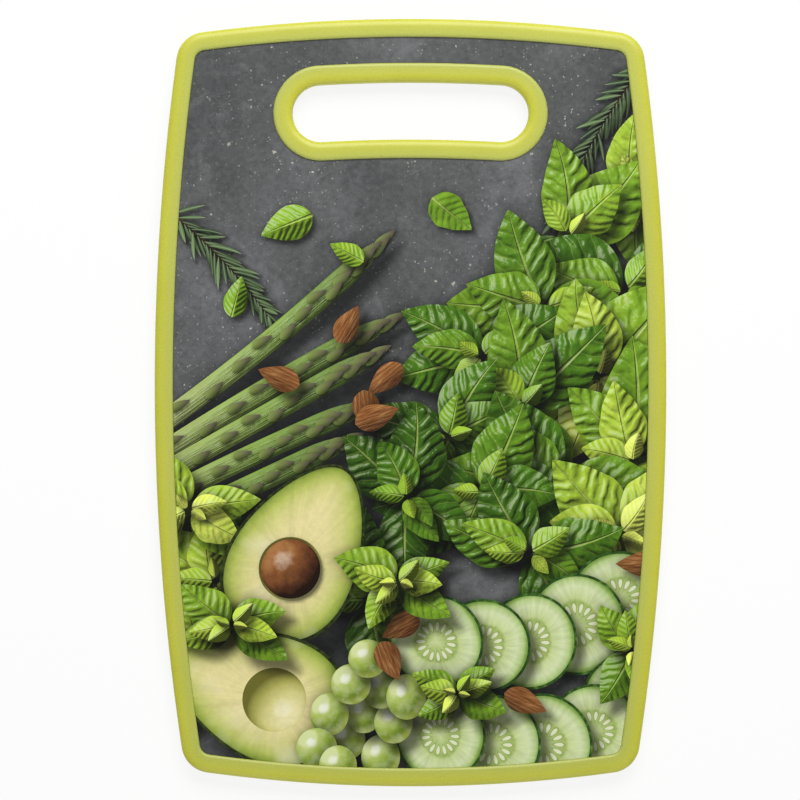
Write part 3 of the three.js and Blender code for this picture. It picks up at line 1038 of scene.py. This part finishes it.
def grape_skin(tree, place):
    """White grape: a clear green ball under a waxy bloom, glowing on the side away from the light."""
    own = add(tree, "UVMap", uv_map="own")
    full, glint = ball(tree, own)
    bloom = add(tree, "TexNoise", {"Vector": place, "Scale": 1 / (4 * MM), "Detail": 3})
    lit = add(tree, "Math", (bloom, 0.22, full), operation="MULTIPLY_ADD")
    green = add(tree, "ValToRGB", (lit,), stops=(
        (0.0, "#41561a"), (1.0, "#dbe6a2"), (0.30, "#6c8429"), (0.60, "#95ab43"), (0.90, "#b9cb69"),
    ))
    radius = add(tree, "VectorMath", (own,), out="Value", operation="LENGTH")
    far = add(tree, "MapRange", (full, 0.45, -0.25, 0.0, 1.0), **EASED)
    ring = add(tree, "MapRange", (radius, 0.35, 0.85, 0.0, 0.55), **EASED)
    glow = add(tree, "Math", (far, ring), operation="MULTIPLY")
    green = add(tree, "Mix", {SHARE: glow, FIRST: green, SECOND: linear("#b7c655")}, **COLOURS)
    waxy = add(tree, "MapRange", (bloom, 0.42, 0.68, 0.0, 0.30))
    green = add(tree, "Mix", {SHARE: waxy, FIRST: green, SECOND: linear("#cfd9b4")}, **COLOURS)
    glint = add(tree, "Math", (bloom, -0.10, glint), operation="MULTIPLY_ADD")
    return glossed(tree, green, glint, (0.89, 0.95), 0.75, "#fbfdf0")


INKS = {
    "slate": slate,
    "herb": herb,
    "needle": needle,
    "stem": stem,
    "spear": spear,
    "bract": bract,
    "cucumber_skin": cucumber_skin,
    "cucumber": cucumber,
    "avocado_skin": avocado_skin,
    "avocado": avocado,
    "hollow": hollow,
    "stone": stone,
    "grape": grape_skin,
    "almond": almond_skin,
}


def printed(name, paint):
    """Polypropylene film, printed and pressed into the panel's face: an even satin over the picture."""
    material, tree = new_tree("printed_polypropylene_film_" + name)
    place = add(tree, "TexCoord", out="Object")
    colour = paint(tree, place)
    shadow = add(tree, "Attribute", out="Fac", attribute_name="shadow")
    colour = add(tree, "Mix", {SHARE: 1.0, FIRST: colour, SECOND: shadow}, **TIMES)
    # the film's pressed texture is about 0.2 mm across, drawn at 0.8 mm so that it shows
    grain = add(tree, "TexNoise", {"Vector": place, "Scale": 1 / (0.8 * MM), "Detail": 2})
    bump = add(tree, "Bump", {"Height": grain, "Distance": 0.01 * MM, "Strength": 0.4})
    rough = add(tree, "MapRange", (grain, 0.3, 0.7, 0.36, 0.44))
    surface = add(tree, "BsdfPrincipled", {
        "Base Color": colour, "Roughness": rough, "Normal": bump, "IOR": 1.49, "Specular IOR Level": 0.22,
    })
    add(tree, "OutputMaterial", {"Surface": surface})
    return material


# Stage

def photo_camera():
    """A camera over the board that frames it as the photograph does."""
    pixel = BOARD_WIDTH / BOARD_PIXELS_WIDE
    camera_data = bpy.data.cameras.new("camera")
    camera_data.sensor_width = SENSOR_WIDTH
    camera_data.lens = SENSOR_WIDTH * CAMERA_HEIGHT / (PHOTO_SIDE * pixel)
    camera = bpy.data.objects.new("camera", camera_data)
    camera.location = (
        (PHOTO_SIDE / 2 - BOARD_CENTRE_PIXEL[0]) * pixel,
        (BOARD_CENTRE_PIXEL[1] - PHOTO_SIDE / 2) * pixel,
        BOARD_THICKNESS / 2 + CAMERA_HEIGHT,  # the outline is widest half way up
    )
    bpy.context.collection.objects.link(camera)
    bpy.context.scene.camera = camera


def lamps():
    """A soft lamp beyond the handle end, and a broad weak screen beyond the foot."""
    for name, place, size, watts in (
        ("key_softbox", (0.1, 1.05, 1.05), (1.4, 0.8), 23),
        ("fill_screen", (0.1, -2.2, 1.0), (3.2, 2.0), 24),
    ):
        lamp_data = bpy.data.lights.new(name, "AREA")
        lamp_data.shape = "RECTANGLE"
        lamp_data.size, lamp_data.size_y = size
        lamp_data.energy = watts
        lamp = bpy.data.objects.new(name, lamp_data)
        lamp.location = place
        lamp.rotation_euler = (-lamp.location).to_track_quat("-Z", "Y").to_euler()
        bpy.context.collection.objects.link(lamp)


def white_room():
    """Light from all round that fills the shadows, and plain white behind the board."""
    world = bpy.data.worlds.new("white_room")
    world.use_nodes = True
    tree = world.node_tree
    tree.nodes.clear()
    seen = add(tree, "LightPath", out="Is Camera Ray")
    strength = add(tree, "MapRange", (seen, 0.0, 1.0, ROOM_LIGHT, 1.0))
    light = add(tree, "Background", {"Color": (1, 1, 1, 1), "Strength": strength})
    add(tree, "OutputWorld", {"Surface": light})
    bpy.context.scene.world = world


def white_paper():
    """Matt paper that shows the board's shadow near it, and is plain white further off."""
    material, tree = new_tree("white_paper_sweep")
    path = add(tree, "LightPath", out="Is Camera Ray")
    glossy = path.node.outputs["Is Glossy Ray"]
    through = path.node.outputs["Is Transmission Ray"]
    mirrored = add(tree, "Math", (glossy, through), operation="MAXIMUM")
    seen = add(tree, "Math", (path, mirrored), operation="MAXIMUM")
    spot = add(tree, "TexCoord", out="Object")
    far = add(tree, "VectorMath", (spot,), out="Value", operation="LENGTH")
    whiteness = add(tree, "MapRange", (far, SHADOW_REACH, PLAIN_REACH, NEAR_WHITE, 1.0), **EASED)
    share = add(tree, "Math", (seen, whiteness), operation="MULTIPLY")
    paper = add(tree, "BsdfDiffuse", {"Color": (0.95, 0.95, 0.95, 1)})
    white = add(tree, "Emission", {"Color": (1, 1, 1, 1), "Strength": 1.0})
    mix = add(tree, "MixShader", (share, paper, white))
    add(tree, "OutputMaterial", {"Surface": mix})
    return material


def paper_floor():
    bm = bmesh.new()
    bmesh.ops.create_grid(bm, x_segments=1, y_segments=1, size=FLOOR_SIZE)
    mesh = bpy.data.meshes.new("floor")
    bm.to_mesh(mesh)
    bm.free()
    mesh.materials.append(white_paper())
    floor = bpy.data.objects.new("floor", mesh)
    floor.location.z = RIM_LOW[2] - FLOOR_DROP
    bpy.context.collection.objects.link(floor)


bpy.context.scene.view_settings.view_transform = "Standard"
photo_camera()
lamps()
white_room()
paper_floor()

lime = soft_rubber()
rim = soft_rim("edge_rim_soft", "edge_rim", board_arcs(), RIM_WIDTH)
rim.data.materials.append(lime)
handle = soft_rim("handle_rim_soft", "handle_rim", slot_arcs(), HANDLE_RIM_WIDTH)
handle.data.materials.append(lime)

printed_film(still_life())

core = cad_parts["core_panel"]
core.data.materials.clear()
core.data.materials.append(panel_plastic())
